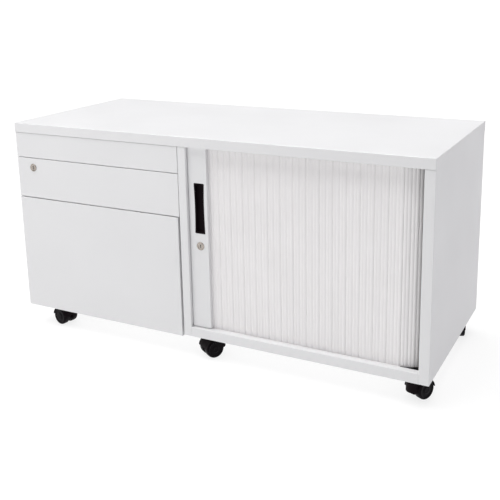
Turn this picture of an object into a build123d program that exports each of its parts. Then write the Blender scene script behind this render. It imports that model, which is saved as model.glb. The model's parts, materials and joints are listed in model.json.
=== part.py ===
"""White steel mobile caddy: three drawers on the left, a side-opening tambour door on the right, on castors.

Millimetres. The origin is on the floor at the centre of the footprint, with +X to the right, +Y to the back
and +Z up, so the front is at -Y. Each function makes one piece, or one group of identical pieces.
"""
from build123d import *
import math
import os

# ---------------------------------------------------------------- overall
WIDTH = 1200.0
DEPTH = 500.0
HEIGHT = 600.0
CARCASS_BOTTOM = 62.0            # height of the castors with their plates
SHEET = 1.2                      # folded steel sheet
EDGE_RADIUS = 1.5                # outside bend of the folded sheet

# ---------------------------------------------------------------- carcass planes
LEFT = -WIDTH / 2
RIGHT = WIDTH / 2
FRONT = -DEPTH / 2
BACK = DEPTH / 2
TOP_LIP = 26.0                   # height of the top panel's folded edge
CARCASS_TOP = HEIGHT - TOP_LIP
TOP_UNDERSIDE = HEIGHT - SHEET
TOP_RETURN_FRONT = 9.0           # inward fold under the front lip
TOP_RETURN = 12.0                # inward fold under the other lips
TOP_CORNER_RADIUS = 3.0
FACE_SETBACK = 1.5               # fronts, stiles and rail behind the lip's face
SIDE_SETBACK = 1.0               # side panels inside the top panel's edge
FACE = FRONT + FACE_SETBACK
OUTER_X = RIGHT - SIDE_SETBACK
INNER_X = OUTER_X - SHEET
BACK_OUTER = BACK - SHEET
BACK_INNER = BACK_OUTER - SHEET
BASE_TOP = CARCASS_BOTTOM + SHEET
SIDE_FLANGE = 15.0               # inward folds of the side panels
SIDE_TOP_FLANGE = 9.0

# ---------------------------------------------------------------- front layout
DIVIDER_LEFT = -62.0             # the centre stile's two edges
DIVIDER_RIGHT = -39.0
STILE_LEFT = RIGHT - 26.5        # inner edge of the right stile
LEDGE_TOP = CARCASS_BOTTOM + 26.0
LEDGE_BACK = FRONT + 19.0
STILE_RETURN_BACK = FRONT + 18.5
SEAM = 1.0                       # open line between the top panel's lip and the stiles
SEAM_DEPTH = 5.0

# ---------------------------------------------------------------- drawers
FRONT_DEPTH = 25.0               # folded drawer front, front to back
FRONT_BACK = FACE + FRONT_DEPTH
UPPER_FRONT_RIGHT = DIVIDER_LEFT - 1.1      # pencil and box drawers
FILE_FRONT_RIGHT = DIVIDER_LEFT - 6.0
FRONT_RETURN = 10.0
CARCASS_FRONT_LEFT = FRONT_BACK + 1.5       # the left bay's carcass starts behind the fronts
PENCIL_FRONT = (503.5, CARCASS_TOP - 0.9)   # bottom and top of each front
BOX_FRONT = (388.3, 502.0)
FILE_FRONT = (56.6, 386.0)          # its bottom clears the turning castor below
TRAY_SHEET = 1.0
TRAY_LEFT = -565.0
TRAY_RIGHT = -75.0
SHORT_TRAY_BACK = 186.0
FILE_TRAY_BACK = 226.0
PENCIL_TRAY = (508.0, 556.0)     # bottom and top of each tray
BOX_TRAY = (394.0, 484.0)
FILE_TRAY = (68.0, 308.0)
HANGING_RAIL_HEIGHT = 8.0
HANGING_RAIL_WIDTH = 3.0
HANGING_RAIL_ENDS = (-215.0, 215.0)

# ---------------------------------------------------------------- drawer runners
POST_FACE = -578.0               # inner face of the runner posts
POST_DEPTH = 24.0
FRONT_POST_Y = -204.0
REAR_POST_Y = 170.0
RUNNER_FRONT = -206.0
SHORT_RUNNER_BACK = 194.0
FILE_RUNNER_BACK = 234.0
RUNNER_SPACE = 13.0              # between cabinet wall and tray wall
RUNNER_SHEET = 1.2
OUTER_DEPTHS = (0.0, 9.0)        # each member's open and closed sides, from the cabinet's wall
MID_DEPTHS = (2.4, 10.6)
INNER_DEPTHS = (4.8, RUNNER_SPACE)
SHORT_RUNNER_HALF = 15.0
SHORT_INNER_HALF = 12.4
FILE_RUNNER_HALF = 22.5
FILE_MID_HALF = 20.0
FILE_INNER_HALF = 17.5
MID_SHORTER = 6.0                # back end of the middle members ahead of the outer ones
SHORT_RUNNER_RISE = 17.0         # runner's centre above its tray's bottom
FILE_RUNNER_RISE = 26.0

# ---------------------------------------------------------------- drawer lock
LOCK_FACE_RADIUS = 11.0
LOCK_BODY_RADIUS = 9.0
LOCK_RIM_RADIUS = 0.8
PLUG_RADIUS = 6.0
PLUG_CLEARANCE = 0.06
PLUG_SETBACK = 0.3               # plug's face behind the rim
KEY_SLOT = (1.4, 7.5, 6.0)       # width, height, depth
DRAWER_LOCK_X = -542.5
DRAWER_LOCK_Z = 475.0
DRAWER_LOCK_DEPTH = FRONT_DEPTH - 3.0
CAM_LENGTH = 30.0
CAM_WIDTH = 6.0
CAM_THICKNESS = 2.0
CAM_CLEARANCE = 0.4              # between the cam and the tray behind it
LOCK_BAR_X = (-592.0, -588.0)
LOCK_BAR_Y = (-217.0, -207.0)
LOCK_BAR_Z = (112.0, 562.0)
LOCK_TAB_TIP = -567.0
LOCK_TAB_DEPTH = 4.0
LOCK_TAB_HEIGHT = 6.0
LOCK_FINGER_Z = (470.5, 474.5)
LOCK_FINGER_X = (-575.0, -569.0)
LOCK_FINGER_FRONT = -229.0
CATCH_RISE = 6.0                 # catch above its drawer's runner
CATCH_GAP = 1.0
CATCH_TIP = -571.0
CATCH_Y = (-204.0, -198.0)

# ---------------------------------------------------------------- tambour curtain
SLAT_COUNT = 14                  # slats that move with the door
CORNER_SLAT_COUNT = 5            # slats at and behind the corner
SLAT_PITCH = 34.2
SLAT_THICKNESS = 6.0
SLAT_FACE = FRONT + 21.0
SLAT_BOTTOM = 83.0
SLAT_TOP = 590.0
RIB_COUNT = 4
RIB_GROOVE = 0.9                 # depth of the grooves at the slat's quarters
MIDDLE_GROOVE = 1.6
EDGE_GROOVE = 2.0
PIVOT_DEPTH = 3.9                # slat joint behind the slat's face
PIVOT_TO_OWN_EDGE = 1.2          # from a joint back to the slat that starts there
PIVOT_TO_LAST_EDGE = 1.4         # from a joint back to the slat that ends there
REAR_CHAMFER = 1.0
BEAD_RADIUS = 0.8
NECK_HALF = 0.4
NECK_OVERLAP = 0.2               # neck sunk into its own slat
SOCKET_GAP = 0.3
FIRST_PIVOT_X = 11.3
CORNER_RADIUS = 62.0             # outer face of the curtain round the corner
PIVOT_RADIUS = CORNER_RADIUS - PIVOT_DEPTH
CORNER_X = FIRST_PIVOT_X + SLAT_PITCH * (SLAT_COUNT + 1)
CORNER_Y = SLAT_FACE + CORNER_RADIUS

# ---------------------------------------------------------------- tambour tracks
GROOVE_OUTER_RADIUS = 62.4
GROOVE_INNER_RADIUS = 53.0
TRACK_WALL = 1.4
TRACK_BOTTOM = 80.0
TRACK_FLOOR = 2.0
TOP_TRACK_BOTTOM = 580.0
TOP_GROOVE_TOP = 592.0
TRACK_BACK_END = 236.0
CORNER_PLATE_DROP = 1.5          # corner plate below the ledge

# ---------------------------------------------------------------- tambour door
BAR_LEFT = -38.0
BAR_RIGHT = 16.0
BAR_FACE = FRONT + 11.0
BAR_BACK = SLAT_FACE - 0.6
BAR_WALL = 1.5
BAR_BOTTOM = LEDGE_TOP + 1.5
BAR_TOP = TOP_TRACK_BOTTOM - 1.0
BAR_EDGE_RADIUS = 1.0
BAR_SHOE_RIGHT = -28.0
BAR_SHOE_BACK = SLAT_FACE + SLAT_THICKNESS
HANDLE_X = (-22.0, 8.0)
HANDLE_Z = (348.0, 481.0)
HANDLE_PROUD = 0.8
HANDLE_RIM = 3.0
HANDLE_FLOOR = 1.2
HANDLE_CORNER = 3.0
HANDLE_CUP_CORNER = 1.5
HANDLE_WAIST = 1.5               # how far each long side curves in at its middle
HANDLE_CUT_GAP = 0.2
DOOR_LOCK_X = -7.5
DOOR_LOCK_Z = 314.5
DOOR_LOCK_DEPTH = 4.5
HOOK_LENGTH = 40.0
HOOK_WIDTH = 6.0
HOOK_FRONT = -234.2
HOOK_THICKNESS = 2.0
HOOK_SLOT_Z = (283.0, 321.0)
HOOK_SLOT_Y = (-235.2, -231.4)

# ---------------------------------------------------------------- compartment
LINING_X = 526.0
FLOOR_FRONT = -217.2
TROUGH_FRONT = SLAT_FACE - 1.9
LINING_FOOT_RIGHT = 590.0
SHELF_TOP = 345.0
SHELF_HEIGHT = 20.0
SHELF_FRONT = -210.0
SHELF_BACK = 240.0
SHELF_SIDE_GAP = 2.0
CLIP_REACH = 9.0
CLIP_WIDTH = 14.0
CLIP_HEIGHT = 10.0
CLIP_THICKNESS = 2.0
CLIP_Y = (-170.0, 200.0)

# ---------------------------------------------------------------- screws
BACK_SCREW_X = (-590.5, -50.5, 590.5)
BACK_SCREW_Z = (100.0, 255.0, 400.0, 545.0)
BACK_SCREW_RADIUS = 2.0
BACK_SCREW_HEAD = 3.6
SCREW_CLEARANCE = 0.1
CASTOR_SCREW_RADIUS = 2.2
CASTOR_SCREW_HEAD = 3.4
CASTOR_SCREW_OFFSET = 14.5
SCREW_PROUD = 1.6                # shank beyond the sheets it holds

# ---------------------------------------------------------------- castors
PLATE_SIZE = 38.0
PLATE_THICKNESS = 2.0
PLATE_CORNER = 4.0
STEM_RADIUS = 4.0
STEM_BOTTOM = 37.0
WHEEL_RADIUS = 25.0
WHEEL_WIDTH = 18.0
WHEEL_INNER = 6.3                # inner face of each wheel from the castor's middle
WHEEL_EDGE = 4.0
AXLE_RADIUS = 3.0
AXLE_OFFSET = 20.0               # trail behind the swivel axis
RUNNING_CLEARANCE = 0.06
HOOD_RADIUS = 27.0
HOOD_INNER_RADIUS = 25.6
HOOD_HALF_WIDTH = 24.8
HOOD_SHOULDER = 1.2              # rounding of the arch's two outer rims
HOOD_WEB_HALF = 5.6
HOOD_WEB_RADIUS = 17.0
HOOD_EDGE_Z = 28.0               # lower edge of the hood's arch
NOSE_RADIUS = 19.0
NOSE_BOTTOM = 22.0
NOSE_SHOULDER = 3.0
NECK_FRONT = -4.0                # front of the block between the nose and the web
NECK_BELOW_AXLE = 6.0
BOSS_RADIUS = 12.0
STEM_SOCKET_BOTTOM = STEM_BOTTOM - 1.0
BOSS_TOP = CARCASS_BOTTOM - PLATE_THICKNESS - 0.6
DISH_RADII = (9.0, 19.0)         # ring-shaped hollow in each wheel's outer face
DISH_DEPTH = 1.2
FAR = 100.0                      # more than any castor's size, for cutting tools
# name, swivel axis x and y, and the direction the wheels trail in, in degrees from +X
CASTORS = (
    ("front_left", -522.0, -202.0, -12.0),
    ("front_centre", 10.0, -194.0, -123.0),
    ("front_right", 552.0, -206.0, 62.0),
    ("rear_left", -522.0, 202.0, 150.0),
    ("rear_right", 552.0, 202.0, -72.0),
)


# ================================================================ helpers
def block(x0, x1, y0, y1, z0, z1):
    """A box between two corners."""
    return Pos((x0 + x1) / 2, (y0 + y1) / 2, (z0 + z1) / 2) * Box(x1 - x0, y1 - y0, z1 - z0)


def rod_y(x, z, radius, y0, y1):
    """A cylinder along Y."""
    return Pos(x, (y0 + y1) / 2, z) * Rot(90, 0, 0) * Cylinder(radius, y1 - y0)


def rod_z(x, y, radius, z0, z1):
    """A cylinder along Z."""
    return Pos(x, y, (z0 + z1) / 2) * Cylinder(radius, z1 - z0)


def group(solids):
    """Several separate solids as one node."""
    return Compound([solid for item in solids for solid in item.solids()])


def front_rounded(solid, radius):
    """Round the edges around the face that points forward."""
    return fillet(solid.faces().sort_by(Axis.Y)[0].edges(), radius)


def front_uprights_rounded(solid, radius):
    """Round the two upright edges at the front."""
    return fillet(solid.edges().filter_by(Axis.Z).sort_by(Axis.Y)[:2], radius)


# ================================================================ carcass
def top_panel():
    """Folded cap: sheet, four lips, and an inward fold under each lip."""
    outer = block(LEFT, RIGHT, FRONT, BACK, CARCASS_TOP, HEIGHT)
    outer = fillet(outer.edges().filter_by(Axis.Z), TOP_CORNER_RADIUS)
    outer = fillet(outer.faces().sort_by(Axis.Z)[-1].edges(), EDGE_RADIUS)
    hollow = block(LEFT + SHEET, RIGHT - SHEET, FRONT + SHEET, BACK - SHEET,
                   CARCASS_TOP + SHEET, TOP_UNDERSIDE)
    window = block(LEFT + TOP_RETURN, RIGHT - TOP_RETURN, FRONT + TOP_RETURN_FRONT, BACK - TOP_RETURN,
                   CARCASS_TOP, CARCASS_TOP + SHEET)
    return outer - hollow - window


def back_screw_holes():
    """Clearance holes for the screws that hold the back panel."""
    return [rod_y(x, z, BACK_SCREW_RADIUS + SCREW_CLEARANCE, BACK_INNER - 2 * SHEET, BACK)
            for x in BACK_SCREW_X for z in BACK_SCREW_Z]


def lip_seam(x0, x1):
    """The narrow opening between a stile's top and the lip above it."""
    return block(x0, x1, FACE, FACE + SEAM_DEPTH, CARCASS_TOP - SEAM, CARCASS_TOP)


def left_side_panel():
    """Left sheet with its folds; the front fold sits behind the drawer fronts."""
    panel = block(-OUTER_X, -INNER_X, CARCASS_FRONT_LEFT, BACK_INNER, CARCASS_BOTTOM, CARCASS_TOP)
    panel += block(-INNER_X, POST_FACE, CARCASS_FRONT_LEFT, CARCASS_FRONT_LEFT + SHEET, BASE_TOP, CARCASS_TOP)
    panel += block(-INNER_X, -INNER_X + SIDE_FLANGE, CARCASS_FRONT_LEFT, BACK_INNER,
                   BASE_TOP, BASE_TOP + SHEET)
    panel += block(-INNER_X, -INNER_X + SIDE_TOP_FLANGE, CARCASS_FRONT_LEFT, BACK_INNER,
                   CARCASS_TOP - SHEET, CARCASS_TOP)
    panel += block(-INNER_X, -INNER_X + SIDE_FLANGE, BACK_INNER - SHEET, BACK_INNER, BASE_TOP, CARCASS_TOP)
    return panel - back_screw_holes()


def right_side_panel():
    """Right sheet folded round to the front as the stile, with a return into the doorway."""
    outer = block(STILE_LEFT, OUTER_X, FACE, BACK_INNER, CARCASS_BOTTOM, CARCASS_TOP)
    outer = front_uprights_rounded(outer, EDGE_RADIUS)
    inside = block(STILE_LEFT - SHEET, INNER_X, FACE + SHEET, BACK, CARCASS_BOTTOM, CARCASS_TOP)
    panel = outer - inside
    panel += block(STILE_LEFT, STILE_LEFT + SHEET, FACE + SHEET, STILE_RETURN_BACK, BASE_TOP, CARCASS_TOP)
    panel += block(INNER_X - SIDE_FLANGE, INNER_X, FACE + SHEET, BACK_INNER, BASE_TOP, BASE_TOP + SHEET)
    panel += block(INNER_X - SIDE_TOP_FLANGE, INNER_X, FACE + SHEET, BACK_INNER,
                   CARCASS_TOP - SHEET, CARCASS_TOP)
    panel += block(INNER_X - SIDE_FLANGE, INNER_X, BACK_INNER - SHEET, BACK_INNER, BASE_TOP, CARCASS_TOP)
    return panel - lip_seam(STILE_LEFT, RIGHT) - back_screw_holes()


def back_panel():
    """Flat sheet screwed to the folds of the sides and the divider."""
    panel = block(-INNER_X, INNER_X, BACK_INNER, BACK_OUTER, CARCASS_BOTTOM, CARCASS_TOP)
    return panel - back_screw_holes()


def castor_screw_places(x, y):
    """The four screws of one castor plate."""
    return [(x + i * CASTOR_SCREW_OFFSET, y + j * CASTOR_SCREW_OFFSET) for i in (-1, 1) for j in (-1, 1)]


def castor_screw_holes(z0, z1):
    """Clearance holes for all the castor screws, between two heights."""
    return [rod_z(x, y, CASTOR_SCREW_RADIUS + SCREW_CLEARANCE, z0, z1)
            for _, pivot_x, pivot_y, _ in CASTORS for x, y in castor_screw_places(pivot_x, pivot_y)]


def base_panel():
    """Flat bottom sheet, set back under the drawers."""
    panel = block(-INNER_X, INNER_X, FACE + SHEET, BACK_INNER, CARCASS_BOTTOM, BASE_TOP)
    panel -= block(LEFT, DIVIDER_LEFT, FRONT, CARCASS_FRONT_LEFT, CARCASS_BOTTOM, BASE_TOP)
    return panel - castor_screw_holes(CARCASS_BOTTOM, BASE_TOP)


def centre_divider():
    """Double-skin divider whose front face is the centre stile, with a slot for the door's hook."""
    outer = block(DIVIDER_LEFT, DIVIDER_RIGHT, FACE, BACK_INNER, CARCASS_BOTTOM, CARCASS_TOP)
    outer = front_uprights_rounded(outer, EDGE_RADIUS)
    hollow = block(DIVIDER_LEFT + SHEET, DIVIDER_RIGHT - SHEET, FACE + SHEET, BACK_INNER - SHEET,
                   CARCASS_BOTTOM, CARCASS_TOP)
    base_notch = block(DIVIDER_LEFT, DIVIDER_RIGHT, FACE + SHEET, BACK, CARCASS_BOTTOM, BASE_TOP)
    strike_slot = block(DIVIDER_RIGHT - 2 * SHEET, DIVIDER_RIGHT + SHEET, *HOOK_SLOT_Y, *HOOK_SLOT_Z)
    divider = outer - hollow - base_notch - strike_slot
    return divider - lip_seam(DIVIDER_LEFT, DIVIDER_RIGHT) - back_screw_holes()


def bottom_front_rail():
    """Rail under the doorway: front face, ledge on top, and a fold down behind."""
    outer = block(DIVIDER_RIGHT, STILE_LEFT, FACE, LEDGE_BACK, CARCASS_BOTTOM, LEDGE_TOP)
    upper_edges = outer.edges().filter_by(Axis.X).group_by(Axis.Y)[0].sort_by(Axis.Z)[-1]
    outer = fillet(upper_edges, EDGE_RADIUS)
    hollow = block(DIVIDER_RIGHT, STILE_LEFT, FACE + SHEET, LEDGE_BACK - SHEET,
                   CARCASS_BOTTOM, LEDGE_TOP - SHEET)
    base_notch = block(DIVIDER_RIGHT, STILE_LEFT, FACE + SHEET, BACK, CARCASS_BOTTOM, BASE_TOP)
    return outer - hollow - base_notch


def compartment_floor():
    """Raised floor level with the ledge, with a trough in front that carries the bottom track."""
    floor = block(DIVIDER_RIGHT, LINING_X, FLOOR_FRONT, BACK_INNER, LEDGE_TOP - SHEET, LEDGE_TOP)
    floor += block(DIVIDER_RIGHT, LINING_X, FLOOR_FRONT - SHEET, FLOOR_FRONT, TRACK_BOTTOM - SHEET, LEDGE_TOP)
    floor += block(DIVIDER_RIGHT, LINING_X, TROUGH_FRONT, FLOOR_FRONT - SHEET,
                   TRACK_BOTTOM - SHEET, TRACK_BOTTOM)
    floor += block(DIVIDER_RIGHT, LINING_X, BACK_INNER - SHEET, BACK_INNER, BASE_TOP, LEDGE_TOP - SHEET)
    return floor


def compartment_lining():
    """Inner wall that closes off the curtain's pocket, with a foot that carries the side track."""
    lining = block(LINING_X, LINING_X + SHEET, FLOOR_FRONT, BACK_INNER, TRACK_BOTTOM, CARCASS_TOP)
    lining += block(LINING_X, LINING_X + SHEET, FLOOR_FRONT, BACK - TOP_RETURN, CARCASS_TOP, TOP_UNDERSIDE)
    lining += block(LINING_X, LINING_FOOT_RIGHT, TROUGH_FRONT, BACK_INNER - SHEET,
                    TRACK_BOTTOM - SHEET, TRACK_BOTTOM)
    return lining


def band(outer_radius, inner_radius, z0, z1):
    """The curtain's path as a solid band: straight run, corner and side run, between two heights."""
    straight = block(DIVIDER_RIGHT, CORNER_X, CORNER_Y - outer_radius, CORNER_Y - inner_radius, z0, z1)
    side = block(CORNER_X + inner_radius, CORNER_X + outer_radius, CORNER_Y, TRACK_BACK_END, z0, z1)
    ring = rod_z(CORNER_X, CORNER_Y, outer_radius, z0, z1) - rod_z(CORNER_X, CORNER_Y, inner_radius, z0, z1)
    quadrant = block(CORNER_X, CORNER_X + outer_radius, CORNER_Y - outer_radius, CORNER_Y, z0, z1)
    return straight + (ring & quadrant) + side


def corner_zone():
    """The block that holds the tracks' rounded corner, from the floor to the top of the top panel."""
    return block(CORNER_X, RIGHT, FRONT, CORNER_Y, 0.0, HEIGHT)


def whole_tracks():
    """Bottom and top channels that guide the slats' ends, from the centre divider round the corner."""
    wall_outer = GROOVE_OUTER_RADIUS + TRACK_WALL
    wall_inner = GROOVE_INNER_RADIUS - TRACK_WALL
    bottom = band(wall_outer, wall_inner, TRACK_BOTTOM, LEDGE_TOP)
    corner_plate = block(CORNER_X, CORNER_X + wall_outer, CORNER_Y - wall_outer, CORNER_Y,
                         TRACK_BOTTOM, LEDGE_TOP - CORNER_PLATE_DROP)
    corner_plate -= rod_z(CORNER_X, CORNER_Y, GROOVE_OUTER_RADIUS, TRACK_BOTTOM, LEDGE_TOP)
    bottom += corner_plate
    bottom -= band(GROOVE_OUTER_RADIUS, GROOVE_INNER_RADIUS, TRACK_BOTTOM + TRACK_FLOOR, LEDGE_TOP)
    top = band(wall_outer, wall_inner, TOP_TRACK_BOTTOM, TOP_UNDERSIDE)
    top -= band(GROOVE_OUTER_RADIUS, GROOVE_INNER_RADIUS, TOP_TRACK_BOTTOM, TOP_GROOVE_TOP)
    return bottom, top


def tambour_tracks():
    """White channels of the straight run and the side run."""
    return group([track - corner_zone() for track in whole_tracks()])


def tambour_corner_tracks():
    """Black corner pieces that turn the slats into the side run."""
    return group([track & corner_zone() for track in whole_tracks()])


def adjustable_shelf():
    """Folded shelf on four clips."""
    x0 = DIVIDER_RIGHT + SHELF_SIDE_GAP
    x1 = LINING_X - SHELF_SIDE_GAP
    bottom = SHELF_TOP - SHELF_HEIGHT
    outer = front_rounded(block(x0, x1, SHELF_FRONT, SHELF_BACK, bottom, SHELF_TOP), EDGE_RADIUS)
    hollow = block(x0 + SHEET, x1 - SHEET, SHELF_FRONT + SHEET, SHELF_BACK - SHEET, bottom, SHELF_TOP - SHEET)
    return outer - hollow


def shelf_clips():
    """Four angle clips under the shelf's ends."""
    top = SHELF_TOP - SHELF_HEIGHT
    clips = []
    for wall, inward in ((DIVIDER_RIGHT, 1), (LINING_X, -1)):
        for y in CLIP_Y:
            foot = sorted((wall, wall + inward * CLIP_THICKNESS))
            arm = sorted((wall, wall + inward * CLIP_REACH))
            clip = block(*foot, y, y + CLIP_WIDTH, top - CLIP_HEIGHT, top)
            clip += block(*arm, y, y + CLIP_WIDTH, top - CLIP_THICKNESS, top)
            clips.append(clip)
    return group(clips)


def runner_posts():
    """Two folded posts inside the left panel that carry the left runners."""
    posts = []
    for y in (FRONT_POST_Y, REAR_POST_Y):
        outer = block(-INNER_X, POST_FACE, y, y + POST_DEPTH, BASE_TOP + SHEET, CARCASS_TOP - SHEET)
        inside = block(-INNER_X, POST_FACE - SHEET, y + SHEET, y + POST_DEPTH - SHEET, BASE_TOP, CARCASS_TOP)
        posts.append(outer - inside)
    return group(posts)


# ================================================================ drawer runners
def channel(wall_x, inward, depths, half_height, web_depth, z, y0, y1):
    """A channel along Y. Depths are measured from the wall; the web stands at web_depth."""
    near, far = (wall_x + inward * depth for depth in depths)
    web = sorted((wall_x + inward * web_depth, wall_x + inward * (web_depth + RUNNER_SHEET)))
    flange = sorted((near, far))
    solid = block(*web, y0, y1, z - half_height, z + half_height)
    solid += block(*flange, y0, y1, z + half_height - RUNNER_SHEET, z + half_height)
    solid += block(*flange, y0, y1, z - half_height, z - half_height + RUNNER_SHEET)
    return solid


WALLS = ((POST_FACE, 1), (DIVIDER_LEFT, -1))     # where the runners are fixed, and which way they face


def runner_levels():
    """Centre height, half height and back end of each drawer's runners."""
    return {
        "pencil": (PENCIL_TRAY[0] + SHORT_RUNNER_RISE, SHORT_RUNNER_HALF, SHORT_RUNNER_BACK),
        "box": (BOX_TRAY[0] + SHORT_RUNNER_RISE, SHORT_RUNNER_HALF, SHORT_RUNNER_BACK),
        "file": (FILE_TRAY[0] + FILE_RUNNER_RISE, FILE_RUNNER_HALF, FILE_RUNNER_BACK),
    }


def drawer_runner_outers():
    """Six fixed members, open towards the drawers."""
    outers = []
    for z, half, back in runner_levels().values():
        for wall_x, inward in WALLS:
            outers.append(channel(wall_x, inward, OUTER_DEPTHS, half, OUTER_DEPTHS[0], z, RUNNER_FRONT, back))
    return group(outers)


def runner_inners(drawer, back):
    """A drawer's two members, fixed on the tray's sides and open towards the walls."""
    z = runner_levels()[drawer][0]
    half = FILE_INNER_HALF if drawer == "file" else SHORT_INNER_HALF
    web_depth = RUNNER_SPACE - RUNNER_SHEET
    return group([channel(wall_x, inward, INNER_DEPTHS, half, web_depth, z, RUNNER_FRONT, back)
                  for wall_x, inward in WALLS])


def file_runner_mids():
    """Middle members of the file drawer's full-extension runners."""
    z, _, outer_back = runner_levels()["file"]
    back = outer_back - MID_SHORTER
    return group([channel(wall_x, inward, MID_DEPTHS, FILE_MID_HALF, MID_DEPTHS[0], z, RUNNER_FRONT, back)
                  for wall_x, inward in WALLS])


# ================================================================ drawers
def drawer_front(levels, right):
    """Folded front: a face with four sides and a fold inward at the back."""
    z0, z1 = levels
    outer = front_rounded(block(-OUTER_X, right, FACE, FRONT_BACK, z0, z1), EDGE_RADIUS)
    hollow = block(-OUTER_X + SHEET, right - SHEET, FACE + SHEET, FRONT_BACK - SHEET, z0 + SHEET, z1 - SHEET)
    window = block(-OUTER_X + FRONT_RETURN, right - FRONT_RETURN, FRONT_BACK - SHEET, FRONT_BACK,
                   z0 + FRONT_RETURN, z1 - FRONT_RETURN)
    return outer - hollow - window


def catch_levels(drawer):
    """Bottom and top of the tray's catch, just above the lock bar's tab at rest."""
    z, half, _ = runner_levels()[drawer]
    bottom = z + half + CATCH_RISE
    return bottom, bottom + LOCK_TAB_HEIGHT


def drawer_tray(drawer, levels, back):
    """Open tray, and the catch for the lock bar welded on its left side as a solid of its own."""
    z0, z1 = levels
    outer = block(TRAY_LEFT, TRAY_RIGHT, FRONT_BACK, back, z0, z1)
    inside = block(TRAY_LEFT + TRAY_SHEET, TRAY_RIGHT - TRAY_SHEET,
                   FRONT_BACK + TRAY_SHEET, back - TRAY_SHEET, z0 + TRAY_SHEET, z1)
    catch = block(CATCH_TIP, TRAY_LEFT, *CATCH_Y, *catch_levels(drawer))
    return group([outer - inside, catch])


def file_hanging_rails():
    """Two rails on top of the file tray's sides."""
    z0 = FILE_TRAY[1]
    z1 = z0 + HANGING_RAIL_HEIGHT
    return group([
        block(TRAY_LEFT, TRAY_LEFT + HANGING_RAIL_WIDTH, *HANGING_RAIL_ENDS, z0, z1),
        block(TRAY_RIGHT - HANGING_RAIL_WIDTH, TRAY_RIGHT, *HANGING_RAIL_ENDS, z0, z1),
    ])


def box_drawer_front():
    """The box drawer's front, with the hole for its lock."""
    hole_radius = LOCK_BODY_RADIUS + SCREW_CLEARANCE
    lock_hole = rod_y(DRAWER_LOCK_X, DRAWER_LOCK_Z, hole_radius, FRONT, FACE + 2 * SHEET)
    return drawer_front(BOX_FRONT, UPPER_FRONT_RIGHT) - lock_hole


# ================================================================ locks
def lock_barrel(x, z, face_y, depth):
    """Round lock body with a raised rim and a bore for the plug."""
    barrel = rod_y(x, z, LOCK_FACE_RADIUS, face_y - FACE_SETBACK, face_y)
    barrel = fillet(barrel.faces().sort_by(Axis.Y)[0].edges(), LOCK_RIM_RADIUS)
    barrel += rod_y(x, z, LOCK_BODY_RADIUS, face_y, face_y + depth)
    return barrel - rod_y(x, z, PLUG_RADIUS + PLUG_CLEARANCE, face_y - FACE_SETBACK, face_y + depth)


def lock_plug(x, z, face_y, plug_back, arm_back, arm_width, arm_length):
    """Plug with its key slot, and behind it an arm that hangs down at rest."""
    front = face_y - FACE_SETBACK + PLUG_SETBACK
    width, height, slot_depth = KEY_SLOT
    plug = rod_y(x, z, PLUG_RADIUS, front, plug_back)
    plug -= block(x - width / 2, x + width / 2, front, front + slot_depth, z - height / 2, z + height / 2)
    arm = block(x - arm_width / 2, x + arm_width / 2, plug_back, arm_back, z - arm_length, z)
    return plug + arm + rod_y(x, z, arm_width / 2, plug_back, arm_back)


def drawer_lock_barrel():
    """Lock body in the box drawer's front."""
    return lock_barrel(DRAWER_LOCK_X, DRAWER_LOCK_Z, FACE, DRAWER_LOCK_DEPTH)


def drawer_lock_plug():
    """Plug and cam of the drawer lock; the cam lifts the lock bar's finger."""
    cam_back = FRONT_BACK - CAM_CLEARANCE
    return lock_plug(DRAWER_LOCK_X, DRAWER_LOCK_Z, FACE, cam_back - CAM_THICKNESS, cam_back,
                     CAM_WIDTH, CAM_LENGTH)


def drawer_lock_bar():
    """Upright bar with one tab for each drawer and a finger that the cam lifts."""
    bar = block(*LOCK_BAR_X, *LOCK_BAR_Y, *LOCK_BAR_Z)
    tab_y = (LOCK_BAR_Y[0], LOCK_BAR_Y[0] + LOCK_TAB_DEPTH)
    for drawer in ("pencil", "box", "file"):
        tab_top = catch_levels(drawer)[0] - CATCH_GAP
        bar += block(LOCK_BAR_X[0], LOCK_TAB_TIP, *tab_y, tab_top - LOCK_TAB_HEIGHT, tab_top)
    bar += block(LOCK_BAR_X[0], LOCK_FINGER_X[1], *tab_y, *LOCK_FINGER_Z)
    bar += block(*LOCK_FINGER_X, LOCK_FINGER_FRONT, tab_y[1], *LOCK_FINGER_Z)
    return bar


def tambour_lock_barrel():
    """Shallow lock body in the door's lead bar."""
    return lock_barrel(DOOR_LOCK_X, DOOR_LOCK_Z, BAR_FACE, DOOR_LOCK_DEPTH)


def tambour_lock_plug():
    """Plug and hook of the door lock; the hook swings out into the centre stile."""
    return lock_plug(DOOR_LOCK_X, DOOR_LOCK_Z, BAR_FACE, HOOK_FRONT, HOOK_FRONT + HOOK_THICKNESS,
                     HOOK_WIDTH, HOOK_LENGTH)


# ================================================================ tambour door
def handle_outline(grow, y0, y1, corner):
    """The handle's waisted outline as a solid, grown by an amount on every side."""
    x0 = HANDLE_X[0] - grow
    x1 = HANDLE_X[1] + grow
    z0 = HANDLE_Z[0] - grow
    z1 = HANDLE_Z[1] + grow
    middle = (z0 + z1) / 2
    outline = Curve() + [
        Line((x0, z0), (x1, z0)),
        ThreePointArc((x1, z0), (x1 - HANDLE_WAIST, middle), (x1, z1)),
        Line((x1, z1), (x0, z1)),
        ThreePointArc((x0, z1), (x0 + HANDLE_WAIST, middle), (x0, z0)),
    ]
    solid = Pos(0, y1, 0) * Rot(90, 0, 0) * extrude(make_face(outline), y1 - y0)
    return fillet(solid.edges().filter_by(Axis.Y), corner)


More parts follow.
